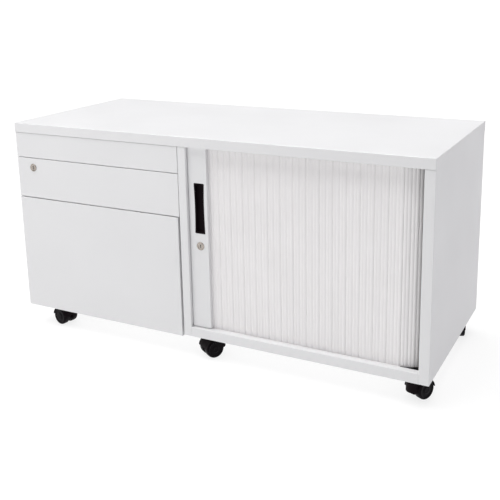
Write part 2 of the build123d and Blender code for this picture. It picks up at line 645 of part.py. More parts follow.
def tambour_lead_bar():
    """Hollow bar at the curtain's leading edge, with a shoe at the left that runs in the tracks."""
    outer = block(BAR_LEFT, BAR_RIGHT, BAR_FACE, BAR_BACK, BAR_BOTTOM, BAR_TOP)
    outer = front_rounded(outer, BAR_EDGE_RADIUS)
    hollow = block(BAR_LEFT + BAR_WALL, BAR_RIGHT - BAR_WALL, BAR_FACE + BAR_WALL, BAR_BACK - BAR_WALL,
                   BAR_BOTTOM, BAR_TOP)
    shoe = block(BAR_LEFT, BAR_SHOE_RIGHT, BAR_BACK, BAR_SHOE_BACK, BAR_BOTTOM, BAR_TOP)
    shoe += block(BAR_LEFT, BAR_SHOE_RIGHT, SLAT_FACE, BAR_SHOE_BACK, SLAT_BOTTOM, SLAT_TOP)
    bar = outer - hollow + shoe
    bar -= handle_outline(HANDLE_CUT_GAP - HANDLE_RIM, BAR_FACE, BAR_BACK, HANDLE_CUP_CORNER + HANDLE_CUT_GAP)
    bar -= rod_y(DOOR_LOCK_X, DOOR_LOCK_Z, LOCK_BODY_RADIUS + SCREW_CLEARANCE, BAR_FACE, BAR_FACE + BAR_WALL)
    bar -= block(BAR_LEFT, BAR_LEFT + BAR_WALL, *HOOK_SLOT_Y, *HOOK_SLOT_Z)
    return bar


def tambour_handle():
    """Recessed finger cup with a rim that lies on the bar's face."""
    front = BAR_FACE - HANDLE_PROUD
    rim = handle_outline(0.0, front, BAR_FACE, HANDLE_CORNER)
    cup = handle_outline(-HANDLE_RIM, BAR_FACE, BAR_BACK, HANDLE_CUP_CORNER)
    hollow = handle_outline(-HANDLE_RIM - HANDLE_FLOOR, front, BAR_BACK - HANDLE_FLOOR, HANDLE_CUP_CORNER)
    return rim + cup - hollow


def joint_bead(gap):
    """Neck and bead that end a slat, around the joint at the local origin, grown by a gap."""
    bead = Circle(BEAD_RADIUS + gap)
    neck_length = PIVOT_TO_LAST_EDGE + NECK_OVERLAP
    neck = Pos(-neck_length / 2, 0) * Rectangle(neck_length, 2 * (NECK_HALF + gap))
    return bead + neck


def slat_section(turn_in):
    """Section of one slat, with its first joint at the origin and its length along +X.

    The face has four crowned ribs with a deeper groove in the middle. The previous slat's bead enters the
    slat at the first joint, turned by turn_in degrees.
    """
    left = -PIVOT_TO_OWN_EDGE
    right = SLAT_PITCH - PIVOT_TO_LAST_EDGE
    face = -PIVOT_DEPTH
    rear = face + SLAT_THICKNESS
    rib = (right - left) / RIB_COUNT
    groove_depths = (EDGE_GROOVE, RIB_GROOVE, MIDDLE_GROOVE, RIB_GROOVE, EDGE_GROOVE)
    lines = []
    for i in range(RIB_COUNT):
        start = (left + i * rib, face + groove_depths[i])
        crown = (left + (i + 0.5) * rib, face)
        end = (left + (i + 1) * rib, face + groove_depths[i + 1])
        lines.append(ThreePointArc(start, crown, end))
    lines.append(Polyline((right, face + EDGE_GROOVE), (right, 0.0), (right - REAR_CHAMFER, rear),
                          (left + REAR_CHAMFER, rear), (left, 0.0), (left, face + EDGE_GROOVE)))
    section = make_face(Curve() + lines)
    section += Pos(SLAT_PITCH, 0) * joint_bead(0.0)
    return section - Rot(0, 0, -turn_in) * joint_bead(SOCKET_GAP)


def slat(x, y, heading, turn_in):
    """A slat from its first joint, pointing along heading in degrees from +X."""
    section = Pos(x, y, SLAT_BOTTOM) * Rot(0, 0, heading) * slat_section(turn_in)
    return extrude(section, SLAT_TOP - SLAT_BOTTOM, dir=(0, 0, 1))


def tambour_slat(number):
    """One of the moving slats, numbered from the lead bar."""
    return slat(FIRST_PIVOT_X + (number - 1) * SLAT_PITCH, SLAT_FACE + PIVOT_DEPTH, 0.0, 0.0)


def path_point(chord_angle):
    """Joint position on the corner arc at an angle from its start."""
    angle = math.radians(chord_angle)
    return CORNER_X + PIVOT_RADIUS * math.sin(angle), CORNER_Y - PIVOT_RADIUS * math.cos(angle)


def tambour_corner_slats():
    """The last flat slat, the slats on the corner, and those on the side run."""
    step = 2 * math.degrees(math.asin(SLAT_PITCH / 2 / PIVOT_RADIUS))
    joints = [(CORNER_X - SLAT_PITCH, SLAT_FACE + PIVOT_DEPTH), path_point(0.0), path_point(step),
              path_point(2 * step)]
    side_x = CORNER_X + PIVOT_RADIUS
    while len(joints) <= CORNER_SLAT_COUNT:
        x, y = joints[-1]
        joints.append((side_x, y + math.sqrt(SLAT_PITCH**2 - (side_x - x)**2)))
    slats = []
    previous_heading = 0.0
    for (x0, y0), (x1, y1) in zip(joints, joints[1:]):
        heading = math.degrees(math.atan2(y1 - y0, x1 - x0))
        slats.append(slat(x0, y0, heading, heading - previous_heading))
        previous_heading = heading
    return group(slats)


# ================================================================ fasteners
def assembly_screws():
    """Screws of the castor plates and of the back panel."""
    plate_bottom = CARCASS_BOTTOM - PLATE_THICKNESS
    screws = []
    for _, pivot_x, pivot_y, _ in CASTORS:
        for x, y in castor_screw_places(pivot_x, pivot_y):
            head = rod_z(x, y, CASTOR_SCREW_HEAD, plate_bottom - SHEET, plate_bottom)
            screws.append(head + rod_z(x, y, CASTOR_SCREW_RADIUS, plate_bottom, BASE_TOP + SCREW_PROUD))
    for x in BACK_SCREW_X:
        for z in BACK_SCREW_Z:
            head = rod_y(x, z, BACK_SCREW_HEAD, BACK_OUTER, BACK)
            screws.append(head + rod_y(x, z, BACK_SCREW_RADIUS, BACK_INNER - SHEET - SCREW_PROUD, BACK_OUTER))
    return group(screws)


# ================================================================ castors
def castor_plates():
    """Five plates, each with the stem that its castor swivels on."""
    plates = []
    half = PLATE_SIZE / 2
    plate_bottom = CARCASS_BOTTOM - PLATE_THICKNESS
    for _, x, y, _ in CASTORS:
        plate = block(x - half, x + half, y - half, y + half, plate_bottom, CARCASS_BOTTOM)
        plate = fillet(plate.edges().filter_by(Axis.Z), PLATE_CORNER)
        plate -= castor_screw_holes(plate_bottom, CARCASS_BOTTOM)
        plates.append(plate + rod_z(x, y, STEM_RADIUS, STEM_BOTTOM, plate_bottom))
    return group(plates)


def castor_hood():
    """Hood that swivels on the stem, at the origin with its wheels trailing along +X."""
    axle_z = WHEEL_RADIUS
    arch = rod_y(AXLE_OFFSET, axle_z, HOOD_RADIUS, -HOOD_HALF_WIDTH, HOOD_HALF_WIDTH)
    arch = fillet(arch.edges().filter_by(GeomType.CIRCLE), HOOD_SHOULDER)
    arch -= block(-FAR, FAR, -FAR, FAR, -FAR, HOOD_EDGE_Z)
    nose = rod_z(0, 0, NOSE_RADIUS, NOSE_BOTTOM, axle_z + HOOD_RADIUS)
    nose = fillet(nose.faces().sort_by(Axis.Z)[-1].edges(), NOSE_SHOULDER)
    hood = arch + nose + rod_z(0, 0, BOSS_RADIUS, NOSE_BOTTOM, BOSS_TOP)
    for side in (-1, 1):
        inner, outer = sorted((side * HOOD_WEB_HALF, side * FAR))
        hood -= rod_y(AXLE_OFFSET, axle_z, HOOD_INNER_RADIUS, inner, outer)
    web = rod_y(AXLE_OFFSET, axle_z, HOOD_WEB_RADIUS, -HOOD_WEB_HALF, HOOD_WEB_HALF)
    web += block(NECK_FRONT, AXLE_OFFSET, -HOOD_WEB_HALF, HOOD_WEB_HALF,
                 axle_z - NECK_BELOW_AXLE, axle_z + HOOD_WEB_RADIUS)
    hood += web
    hood -= rod_y(AXLE_OFFSET, axle_z, AXLE_RADIUS + RUNNING_CLEARANCE, -HOOD_HALF_WIDTH, HOOD_HALF_WIDTH)
    return hood - rod_z(0, 0, STEM_RADIUS + RUNNING_CLEARANCE, STEM_SOCKET_BOTTOM, BOSS_TOP)


def castor_wheels():
    """Two wheels on one axle, in the same place as the hood."""
    axle_z = WHEEL_RADIUS
    wheels = rod_y(AXLE_OFFSET, axle_z, AXLE_RADIUS, -WHEEL_INNER, WHEEL_INNER)
    for side in (-1, 1):
        outer_face = side * (WHEEL_INNER + WHEEL_WIDTH)
        wheel = rod_y(AXLE_OFFSET, axle_z, WHEEL_RADIUS, *sorted((side * WHEEL_INNER, outer_face)))
        wheel = fillet(wheel.faces().sort_by(Axis.Y)[-1 if side > 0 else 0].edges(), WHEEL_EDGE)
        dish_y = sorted((outer_face, outer_face - side * DISH_DEPTH))
        dish = rod_y(AXLE_OFFSET, axle_z, DISH_RADII[1], *dish_y)
        dish -= rod_y(AXLE_OFFSET, axle_z, DISH_RADII[0], *dish_y)
        wheels += wheel - dish
    return wheels


def placed_castor(shape, x, y, heading):
    """A castor piece moved to its swivel axis and turned to its heading."""
    return Pos(x, y, 0) * Rot(0, 0, heading) * shape


# ================================================================ the whole object
def make_nodes():
    """Every node by name."""
    nodes = {
        "top_panel": top_panel(),
        "left_side_panel": left_side_panel(),
        "right_side_panel": right_side_panel(),
        "back_panel": back_panel(),
        "base_panel": base_panel(),
        "centre_divider": centre_divider(),
        "bottom_front_rail": bottom_front_rail(),
        "compartment_floor": compartment_floor(),
        "compartment_lining": compartment_lining(),
        "tambour_tracks": tambour_tracks(),
        "tambour_corner_tracks": tambour_corner_tracks(),
        "tambour_corner_slats": tambour_corner_slats(),
        "adjustable_shelf": adjustable_shelf(),
        "shelf_clips": shelf_clips(),
        "runner_posts": runner_posts(),
        "drawer_runner_outers": drawer_runner_outers(),
        "castor_plates": castor_plates(),
        "assembly_screws": assembly_screws(),
        "pencil_drawer_front": drawer_front(PENCIL_FRONT, UPPER_FRONT_RIGHT),
        "pencil_drawer_tray": drawer_tray("pencil", PENCIL_TRAY, SHORT_TRAY_BACK),
        "pencil_runner_inners": runner_inners("pencil", SHORT_TRAY_BACK),
        "box_drawer_front": box_drawer_front(),
        "box_drawer_tray": drawer_tray("box", BOX_TRAY, SHORT_TRAY_BACK),
        "box_runner_inners": runner_inners("box", SHORT_TRAY_BACK),
        "file_drawer_front": drawer_front(FILE_FRONT, FILE_FRONT_RIGHT),
        "file_drawer_tray": drawer_tray("file", FILE_TRAY, FILE_TRAY_BACK),
        "file_runner_inners": runner_inners("file", FILE_TRAY_BACK),
        "file_hanging_rails": file_hanging_rails(),
        "file_runner_mids": file_runner_mids(),
        "drawer_lock_barrel": drawer_lock_barrel(),
        "drawer_lock_plug": drawer_lock_plug(),
        "drawer_lock_bar": drawer_lock_bar(),
        "tambour_lead_bar": tambour_lead_bar(),
        "tambour_handle": tambour_handle(),
        "tambour_lock_barrel": tambour_lock_barrel(),
        "tambour_lock_plug": tambour_lock_plug(),
    }
    for number in range(1, SLAT_COUNT + 1):
        nodes[f"tambour_slat_{number:02d}"] = tambour_slat(number)
    hood = castor_hood()
    wheels = castor_wheels()
    for name, x, y, heading in CASTORS:
        nodes[f"castor_{name}_hood"] = placed_castor(hood, x, y, heading)
        nodes[f"castor_{name}_wheels"] = placed_castor(wheels, x, y, heading)
    return nodes


os.makedirs("parts", exist_ok=True)
for node_name, node_shape in make_nodes().items():
    export_step(node_shape, f"parts/{node_name}.step")
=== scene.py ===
import json
import math

import bmesh
import bpy
from mathutils import Euler, Matrix, Vector


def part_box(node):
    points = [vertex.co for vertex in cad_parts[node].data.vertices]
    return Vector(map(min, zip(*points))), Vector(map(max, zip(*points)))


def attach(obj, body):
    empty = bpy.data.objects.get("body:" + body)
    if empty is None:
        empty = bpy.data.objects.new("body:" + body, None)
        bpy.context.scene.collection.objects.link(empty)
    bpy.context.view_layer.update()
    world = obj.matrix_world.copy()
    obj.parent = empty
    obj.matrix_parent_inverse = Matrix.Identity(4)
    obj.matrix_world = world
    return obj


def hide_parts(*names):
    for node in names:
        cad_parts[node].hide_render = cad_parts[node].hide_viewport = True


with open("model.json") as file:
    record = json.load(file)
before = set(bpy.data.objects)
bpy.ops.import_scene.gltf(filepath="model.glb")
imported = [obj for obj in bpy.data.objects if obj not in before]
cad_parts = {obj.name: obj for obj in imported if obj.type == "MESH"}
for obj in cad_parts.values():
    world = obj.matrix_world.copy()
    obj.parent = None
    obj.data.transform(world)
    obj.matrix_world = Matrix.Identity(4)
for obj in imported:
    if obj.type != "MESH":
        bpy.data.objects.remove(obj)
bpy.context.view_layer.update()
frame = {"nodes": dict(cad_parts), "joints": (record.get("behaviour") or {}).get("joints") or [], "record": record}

MM = 0.001


# ---------------------------------------------------------------- camera

CAMERA_PLACE = (1.0272, -1.9195, 0.9824)
CAMERA_TURN_DEG = (76.724, 0.956, 26.88)
CAMERA_LENS = 57.89
CAMERA_SENSOR = 36.0
CAMERA_SHIFT = (-0.0195, -0.164)
CAMERA_CLIP = (0.05, 200.0)


def make_camera():
    """The camera of the main view: a three-quarter view from the right, a little above the top."""
    data = bpy.data.cameras.new("camera")
    data.lens = CAMERA_LENS
    data.sensor_width = CAMERA_SENSOR
    data.shift_x, data.shift_y = CAMERA_SHIFT
    data.clip_start, data.clip_end = CAMERA_CLIP
    camera = bpy.data.objects.new("camera", data)
    camera.location = CAMERA_PLACE
    camera.rotation_euler = Euler([math.radians(angle) for angle in CAMERA_TURN_DEG], "XYZ")
    bpy.context.scene.collection.objects.link(camera)
    bpy.context.scene.camera = camera


# ---------------------------------------------------------------- materials

MIDDLE_OF_NOISE = (0.3, 0.7)     # nearly all of a noise texture's values lie between these
EDGE_SAMPLES = 4
EDGE_DOT = 0.86                  # dot of the rounded and the true normal where an edge counts in full
HOLLOW_SAMPLES = 8
HOLLOW_OPENNESS = (0.96, 0.45)   # how open a point is where a hollow starts and where it counts in full


def put(tree, socket, value):
    """Puts a number, a colour or another node's output on a socket."""
    if isinstance(value, bpy.types.NodeSocket):
        tree.links.new(value, socket)
    elif isinstance(value, tuple) and len(value) < len(socket.default_value):
        socket.default_value = (*value, 1.0)
    else:
        socket.default_value = value


def mixed_colors(tree, factor, first, second):
    """Two colours or two nodes' colours, mixed by a factor."""
    node = tree.nodes.new("ShaderNodeMix")
    node.data_type = "RGBA"
    factor_socket, first_socket, second_socket = node.inputs[0], node.inputs[6], node.inputs[7]
    put(tree, factor_socket, factor)
    put(tree, first_socket, first)
    put(tree, second_socket, second)
    return node.outputs[2]


class Graph:
    """A material's nodes, added one call at a time."""

    def __init__(self, name):
        self.material = bpy.data.materials.new(name)
        self.material.use_nodes = True
        self.tree = self.material.node_tree
        self.tree.nodes.clear()
        self.output = self.tree.nodes.new("ShaderNodeOutputMaterial")
        self.coordinates = self.tree.nodes.new("ShaderNodeTexCoord")

    def set(self, node, key, value):
        """Puts a number, a colour or another node's output on a node's input."""
        put(self.tree, node.inputs[key], value)

    def noise(self, scale, detail=2.0, roughness=0.5, stretch=(1.0, 1.0, 1.0)):
        """Noise from 0 to 1, of about 1 / scale metres. A small stretch draws it out along that axis."""
        mapping = self.tree.nodes.new("ShaderNodeMapping")
        self.set(mapping, "Vector", self.coordinates.outputs["Object"])
        self.set(mapping, "Scale", stretch)
        node = self.tree.nodes.new("ShaderNodeTexNoise")
        self.set(node, "Vector", mapping.outputs["Vector"])
        self.set(node, "Scale", scale)
        self.set(node, "Detail", detail)
        self.set(node, "Roughness", roughness)
        return node.outputs["Fac"]

    def cells(self, scale):
        """Flat random values, one for each cell of about 1 / scale metres."""
        node = self.tree.nodes.new("ShaderNodeTexVoronoi")
        self.set(node, "Vector", self.coordinates.outputs["Object"])
        self.set(node, "Scale", scale)
        split = self.tree.nodes.new("ShaderNodeSeparateColor")
        self.set(split, "Color", node.outputs["Color"])
        return split.outputs["Red"]

    def remap(self, value, low, high, new_low=0.0, new_high=1.0):
        """The value's range low to high, spread over another range."""
        node = self.tree.nodes.new("ShaderNodeMapRange")
        self.set(node, "Value", value)
        self.set(node, "From Min", low)
        self.set(node, "From Max", high)
        self.set(node, "To Min", new_low)
        self.set(node, "To Max", new_high)
        return node.outputs["Result"]

    def math(self, operation, a, b):
        """One operation on two values."""
        node = self.tree.nodes.new("ShaderNodeMath")
        node.operation = operation
        self.set(node, 0, a)
        self.set(node, 1, b)
        return node.outputs["Value"]

    def blend(self, factor, first, second):
        """Two colours, mixed by a factor."""
        return mixed_colors(self.tree, factor, first, second)

    def edges(self, radius):
        """1 along the shape's edges and 0 on its flats, within a radius in metres."""
        bevel = self.tree.nodes.new("ShaderNodeBevel")
        bevel.samples = EDGE_SAMPLES
        self.set(bevel, "Radius", radius)
        geometry = self.tree.nodes.new("ShaderNodeNewGeometry")
        dot = self.tree.nodes.new("ShaderNodeVectorMath")
        dot.operation = "DOT_PRODUCT"
        self.tree.links.new(bevel.outputs["Normal"], dot.inputs[0])
        self.tree.links.new(geometry.outputs["Normal"], dot.inputs[1])
        return self.remap(dot.outputs["Value"], 1.0, EDGE_DOT)

    def hollows(self, reach):
        """1 deep in gaps and holes and 0 on open faces, within a reach in metres."""
        node = self.tree.nodes.new("ShaderNodeAmbientOcclusion")
        node.samples = HOLLOW_SAMPLES
        self.set(node, "Distance", reach)
        return self.remap(node.outputs["AO"], *HOLLOW_OPENNESS)

    def bump(self, height, distance):
        """A normal, from a height from 0 to 1 and its real depth in metres."""
        node = self.tree.nodes.new("ShaderNodeBump")
        self.set(node, "Height", height)
        self.set(node, "Distance", distance)
        return node.outputs["Normal"]

    def finish(self, color, roughness, normal, **plain):
        """The shader, with plain numbers on its own sockets."""
        shader = self.tree.nodes.new("ShaderNodeBsdfPrincipled")
        self.set(shader, "Base Color", color)
        self.set(shader, "Roughness", roughness)
        self.set(shader, "Normal", normal)
        for key, value in plain.items():
            self.set(shader, key.replace("_", " "), value)
        self.tree.links.new(shader.outputs["BSDF"], self.output.inputs["Surface"])
        return self.material


SHEET_WHITES = ((0.73, 0.73, 0.735), (0.75, 0.75, 0.755))
SHEET_SPECK = (0.62, 0.62, 0.63)
SHEET_PAINTED_HIGHLIGHT = (0.86, 0.86, 0.87)
SLAT_WHITES = ((0.815, 0.80, 0.80), (0.845, 0.83, 0.83))
SLAT_PAINTED_HIGHLIGHT = (0.88, 0.87, 0.87)
TRACK_BLACKS = ((0.0035, 0.003, 0.0035), (0.012, 0.011, 0.012))
HANDLE_BLACKS = ((0.0050, 0.0024, 0.0036), (0.0080, 0.0040, 0.0058))
HANDLE_PAINTED_HIGHLIGHT = (0.016, 0.011, 0.014)
WHEEL_BLACKS = ((0.0035, 0.0020, 0.0034), (0.008, 0.006, 0.008))
WHEEL_PAINTED_HIGHLIGHT = (0.018, 0.013, 0.018)
NICKEL_TONES = ((0.36, 0.32, 0.285), (0.44, 0.40, 0.36))
NICKEL_PAINTED_HIGHLIGHT = (0.80, 0.77, 0.73)
NICKEL_PAINTED_SHADE = (0.012, 0.010, 0.009)
NICKEL_PAINTED_SHADE_REACH = 4.0 * MM
ZINC_TONES = ((0.50, 0.51, 0.53), (0.62, 0.63, 0.65))
ZINC_DULL = (0.45, 0.45, 0.46)
FLOOR_GREYS = ((0.17, 0.17, 0.17), (0.18, 0.18, 0.18))
FLOOR_ROUGHNESS = 0.65
FLOOR_GLOW = 0.82                # the floor is a light table, so its shadows stay pale


def powder_coat():
    """White satin powder coat: fine orange peel, a thinner and glossier coat along the folded edges, and a painted
    highlight that lightens the colour there.
    """
    g = Graph("powder_coat")
    tone = g.remap(g.noise(4.0, 3.0), *MIDDLE_OF_NOISE)
    color = g.blend(tone, *SHEET_WHITES)
    specks = g.remap(g.noise(900.0, 1.0), 0.70, 0.78)
    color = g.blend(g.math("MULTIPLY", specks, 0.25), color, SHEET_SPECK)
    edge_highlight_and_gloss = g.math("MULTIPLY", g.edges(1.2 * MM), g.remap(g.noise(60.0, 4.0), 0.35, 0.65))
    # painted highlight: the colour is lightened along the edges; the roughness drop below is the glossier coat
    color = g.blend(g.math("MULTIPLY", edge_highlight_and_gloss, 0.5), color, SHEET_PAINTED_HIGHLIGHT)
    roughness = g.remap(g.noise(7.0, 4.0), *MIDDLE_OF_NOISE, 0.34, 0.42)
    roughness = g.math("SUBTRACT", roughness, g.math("MULTIPLY", edge_highlight_and_gloss, 0.08))
    peel = g.math("ADD", g.noise(420.0, 2.0), g.math("MULTIPLY", g.noise(1600.0, 1.0), 0.3))
    return g.finish(color, roughness, g.bump(peel, 0.06 * MM))


def slat_plastic():
    """Extruded white plastic: matt, with faint draw lines along each slat and a painted highlight along its edges.
    """
    g = Graph("slat_plastic")
    lines = g.noise(900.0, 2.0, stretch=(1.0, 1.0, 0.002))
    tone = g.remap(g.noise(9.0, 3.0), *MIDDLE_OF_NOISE)
    color = g.blend(tone, *SLAT_WHITES)
    # painted highlight: the colour is lightened a little along the slats' edges
    color = g.blend(g.math("MULTIPLY", g.edges(0.8 * MM), 0.2), color, SLAT_PAINTED_HIGHLIGHT)
    roughness = g.remap(lines, *MIDDLE_OF_NOISE, 0.44, 0.54)
    return g.finish(color, roughness, g.bump(lines, 0.02 * MM))


def track_plastic():
    """Black plastic of the tambour's corner tracks, dusty and rubbed where the slats run."""
    g = Graph("track_plastic")
    rub = g.remap(g.noise(90.0, 4.0, stretch=(0.3, 0.3, 1.0)), 0.45, 0.75)
    color = g.blend(rub, *TRACK_BLACKS)
    roughness = g.remap(rub, 0.0, 1.0, 0.66, 0.46)
    grain = g.noise(1500.0, 2.0)
    return g.finish(color, roughness, g.bump(grain, 0.06 * MM), Specular_IOR_Level=0.12)


def black_plastic():
    """Moulded black plastic with a fine spark texture, polished (less rough) along its edges, where a painted
    highlight also lightens the colour.
    """
    g = Graph("black_plastic")
    edge_highlight_and_gloss = g.math("MULTIPLY", g.edges(0.9 * MM), g.remap(g.noise(150.0, 3.0), *MIDDLE_OF_NOISE))
    tone = g.remap(g.noise(45.0, 3.0), *MIDDLE_OF_NOISE)
    color = g.blend(tone, *HANDLE_BLACKS)
    # painted highlight: the colour is lightened along the edges; the roughness drop below is the polish
    color = g.blend(g.math("MULTIPLY", edge_highlight_and_gloss, 0.6), color, HANDLE_PAINTED_HIGHLIGHT)
    roughness = g.remap(g.noise(30.0, 3.0), *MIDDLE_OF_NOISE, 0.42, 0.55)
    roughness = g.math("SUBTRACT", roughness, g.math("MULTIPLY", edge_highlight_and_gloss, 0.12))
    grain = g.noise(2600.0, 2.0, 0.6)
    return g.finish(color, roughness, g.bump(grain, 0.10 * MM), Specular_IOR_Level=0.06)


def castor_wheel():
    """Black nylon wheel, scuffed and dusty on the tread, with a painted highlight along its edges."""
    g = Graph("castor_wheel")
    scuff = g.remap(g.noise(320.0, 5.0, 0.7), 0.58, 0.72)
    color = g.blend(scuff, *WHEEL_BLACKS)
    # painted highlight: the colour is lightened along the wheel's edges
    color = g.blend(g.math("MULTIPLY", g.edges(1.0 * MM), 0.5), color, WHEEL_PAINTED_HIGHLIGHT)
    roughness = g.remap(scuff, 0.0, 1.0, 0.36, 0.6)
    grain = g.noise(1800.0, 3.0)
    return g.finish(color, roughness, g.bump(grain, 0.06 * MM), Specular_IOR_Level=0.07)


def nickel():
    """Nickel plate with fine turning marks, a painted highlight along its edges and painted shade, near black, in
    the hollows.
    """
    g = Graph("nickel")
    marks = g.noise(2500.0, 3.0, stretch=(1.0, 0.2, 1.0))
    tone = g.remap(g.noise(260.0, 3.0), *MIDDLE_OF_NOISE)
    color = g.blend(tone, *NICKEL_TONES)
    # painted highlight: the colour is much lighter along the edges
    color = g.blend(g.edges(0.7 * MM), color, NICKEL_PAINTED_HIGHLIGHT)
    # painted shade: the colour goes near black in the keyway and other hollows
    color = g.blend(g.hollows(NICKEL_PAINTED_SHADE_REACH), color, NICKEL_PAINTED_SHADE)
    roughness = g.remap(marks, *MIDDLE_OF_NOISE, 0.20, 0.34)
    return g.finish(color, roughness, g.bump(marks, 0.03 * MM), Metallic=1.0)


def zinc_steel():
    """Bright zinc plate: soft spangle, rolling marks and a little dullness."""
    g = Graph("zinc_steel")
    spangle = g.cells(180.0)
    color = g.blend(spangle, *ZINC_TONES)
    dull = g.remap(g.noise(24.0, 4.0), 0.35, 0.7)
    color = g.blend(g.math("MULTIPLY", dull, 0.4), color, ZINC_DULL)
    roughness = g.remap(dull, 0.0, 1.0, 0.26, 0.46)
    rolled = g.noise(1200.0, 2.0, stretch=(1.0, 0.05, 1.0))
    return g.finish(color, roughness, g.bump(rolled, 0.04 * MM), Metallic=1.0)


def floor_finish():
    """Pale plain floor that glows a little."""
    g = Graph("floor")
    tone = g.remap(g.noise(0.8, 2.0), *MIDDLE_OF_NOISE)
    color = g.blend(tone, *FLOOR_GREYS)
    grain = g.noise(300.0, 2.0)
    return g.finish(color, FLOOR_ROUGHNESS, g.bump(grain, 0.05 * MM),
                    Emission_Color=(1.0, 1.0, 1.0, 1.0), Emission_Strength=FLOOR_GLOW)


# ---------------------------------------------------------------- stage and light

FLOOR_RADIUS = 80.0
FLOOR_SIDES = 96
ROOM_LEFT = (0.06, 0.06, 0.06)
ROOM_RIGHT = (0.05, 0.04, 0.065)
HORIZON_LEFT = (0.80, 0.80, 0.80)
HORIZON_RIGHT = (0.46, 0.44, 0.51)
HORIZON_FADE = (0.08, 0.26)      # Z of the directions where the bright band starts and stops fading
RIGHTWARD_FADE = (-0.3, 0.7)     # X of the directions where the left colour starts and stops fading
KEY_DIRECTION = (-0.25, -0.05, 1.0)
KEY_STRENGTH = 4.25
KEY_SPREAD_DEG = 60.0
SIDE_DIRECTION = (1.0, -0.5, 0.25)
SIDE_STRENGTH = 0.18
SIDE_SPREAD_DEG = 30.0
PANEL_PLACE = (-0.75, -1.5, 0.95)
PANEL_AIM = (-0.3, -0.25, 0.35)
PANEL_SIZE = 0.5
PANEL_POWER = 3.4


def make_floor(material):
    """One large disc at the castors' lowest point."""
    points = []
    for step in range(FLOOR_SIDES):
        angle = 2.0 * math.pi * step / FLOOR_SIDES
        points.append((FLOOR_RADIUS * math.cos(angle), FLOOR_RADIUS * math.sin(angle), 0.0))
    mesh = bpy.data.meshes.new("floor")
    mesh.from_pydata(points, [], [list(range(FLOOR_SIDES))])
    mesh.materials.append(material)
    floor = bpy.data.objects.new("floor", mesh)
    bpy.context.scene.collection.objects.link(floor)


def make_room_light():
    """A dim room with a bright band low down all round it, slightly violet to the right."""
    world = bpy.data.worlds.new("studio")
    world.use_nodes = True
    tree = world.node_tree
    place = tree.nodes.new("ShaderNodeTexCoord")
    split = tree.nodes.new("ShaderNodeSeparateXYZ")
    tree.links.new(place.outputs["Generated"], split.inputs["Vector"])

    def fade(axis, limits):
        """0 to 1 between two values of a direction's X or Z."""
        node = tree.nodes.new("ShaderNodeMapRange")
        node.interpolation_type = "SMOOTHSTEP"
        put(tree, node.inputs["Value"], split.outputs[axis])
        put(tree, node.inputs["From Min"], limits[0])
        put(tree, node.inputs["From Max"], limits[1])
        return node.outputs["Result"]

    rightward = fade("X", RIGHTWARD_FADE)
    horizon = mixed_colors(tree, rightward, HORIZON_LEFT, HORIZON_RIGHT)
    room = mixed_colors(tree, rightward, ROOM_LEFT, ROOM_RIGHT)
    color = mixed_colors(tree, fade("Z", HORIZON_FADE), horizon, room)
    put(tree, tree.nodes["Background"].inputs["Color"], color)
    bpy.context.scene.world = world


def soft_light(name, direction, strength, spread_deg):
    """Very soft parallel light from a direction."""
    data = bpy.data.lights.new(name, "SUN")
    data.energy = strength
    data.angle = math.radians(spread_deg)
    light = bpy.data.objects.new(name, data)
    light.rotation_euler = Vector(direction).to_track_quat("Z", "Y").to_euler()
    bpy.context.scene.collection.objects.link(light)


def soft_panel(name, place, aim, size, power):
    """A square light panel that looks at a point; it lights what is near it more."""
    data = bpy.data.lights.new(name, "AREA")
    data.shape = "SQUARE"
    data.size = size
    data.energy = power
    light = bpy.data.objects.new(name, data)
    light.location = place
    light.rotation_euler = (Vector(place) - Vector(aim)).to_track_quat("Z", "Y").to_euler()
    bpy.context.scene.collection.objects.link(light)


make_camera()
make_room_light()
soft_light("key", KEY_DIRECTION, KEY_STRENGTH, KEY_SPREAD_DEG)
soft_light("side", SIDE_DIRECTION, SIDE_STRENGTH, SIDE_SPREAD_DEG)
soft_panel("panel", PANEL_PLACE, PANEL_AIM, PANEL_SIZE, PANEL_POWER)
bpy.context.scene.view_settings.view_transform = "Standard"
make_floor(floor_finish())

MATERIALS = {
    "powder_coat": powder_coat(),
    "slat_plastic": slat_plastic(),
    "track_plastic": track_plastic(),
    "black_plastic": black_plastic(),
    "castor_wheel": castor_wheel(),
    "nickel": nickel(),
    "zinc_steel": zinc_steel(),
}

for part in frame["record"]["subparts"]:
    node = frame["nodes"][part["node"]]
    node.data.materials.clear()
    node.data.materials.append(MATERIALS[part["material_slot"]])


# ---------------------------------------------------------------- meshes

SHARP_DEG = 32.0                 # edges bent by more than this stay crisp


def piece(name, mesh, body, slot, replaced):
    """A finished mesh in the row frame, on its body, in place of a CAD node."""
    mesh.materials.clear()
    mesh.materials.append(MATERIALS[slot])
    mesh.shade_smooth()
    mesh.set_sharp_from_angle(angle=math.radians(SHARP_DEG))
    obj = bpy.data.objects.new(name, mesh)
    bpy.context.scene.collection.objects.link(obj)
    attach(obj, body)
    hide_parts(replaced)


def add_revolved(bm, profile, place, sides):
    """Turns a profile of (radius, height) points about a place's Z axis. A radius of 0 closes to a point."""
    rings = []
    for radius, height in profile:
        if radius == 0.0:
            rings.append([bm.verts.new(place @ Vector((0.0, 0.0, height)))])
            continue
        ring = []
        for step in range(sides):
            angle = 2.0 * math.pi * step / sides
            point = Vector((radius * math.cos(angle), radius * math.sin(angle), height))
            ring.append(bm.verts.new(place @ point))
        rings.append(ring)
    pairs = list(zip(rings, rings[1:]))
    if profile[0][0] != 0.0:
        pairs.append((rings[-1], rings[0]))
    for first, second in pairs:
        for step in range(sides):
            after = (step + 1) % sides
            if len(first) == 1:
                bm.faces.new((first[0], second[after], second[step]))
            elif len(second) == 1:
                bm.faces.new((first[step], first[after], second[0]))
            else:
                bm.faces.new((first[step], first[after], second[after], second[step]))


